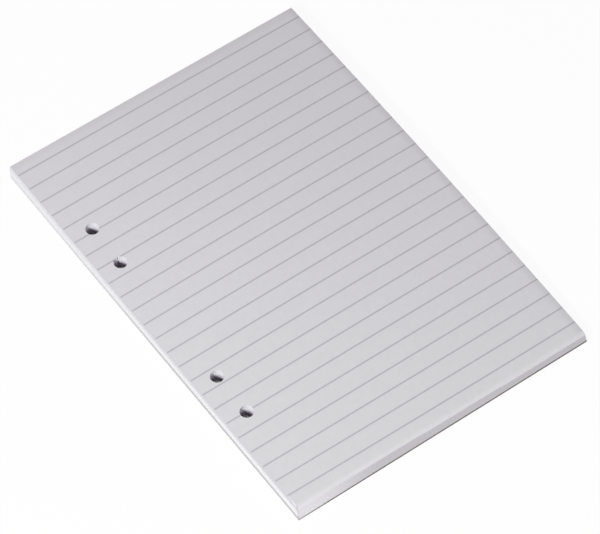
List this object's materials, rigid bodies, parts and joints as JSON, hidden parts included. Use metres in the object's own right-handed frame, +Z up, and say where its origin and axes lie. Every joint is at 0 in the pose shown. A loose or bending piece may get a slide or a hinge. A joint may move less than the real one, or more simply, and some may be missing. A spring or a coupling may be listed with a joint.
{
  "type": "writing pad",
  "caption": "Portrait A5 writing pad of white ruled leaves, glued along its left edge, punched beside the glue for a ring binder and backed with greyboard.",
  "frame": {"origin": "middle of the underside of the backing board's outline, glue included", "axes": "+X along the rulings from the glued edge to the fore edge, +Y towards the head of the page, +Z up out of the top leaf"},
  "size_m": [0.148, 0.21, 0.0083],
  "materials": {
    "writing_paper": "smooth uncoated white writing paper",
    "ruling_ink": "pale grey printed ink on paper",
    "greyboard": "raw grey chipboard",
    "padding_glue": "dried white padding glue, satin"
  },
  "bodies": {
    "root": {"leaf_block": "writing_paper", "ruled_lines": "ruling_ink", "backing_board": "greyboard", "spine_glue": "padding_glue"}
  },
  "joints": []
}
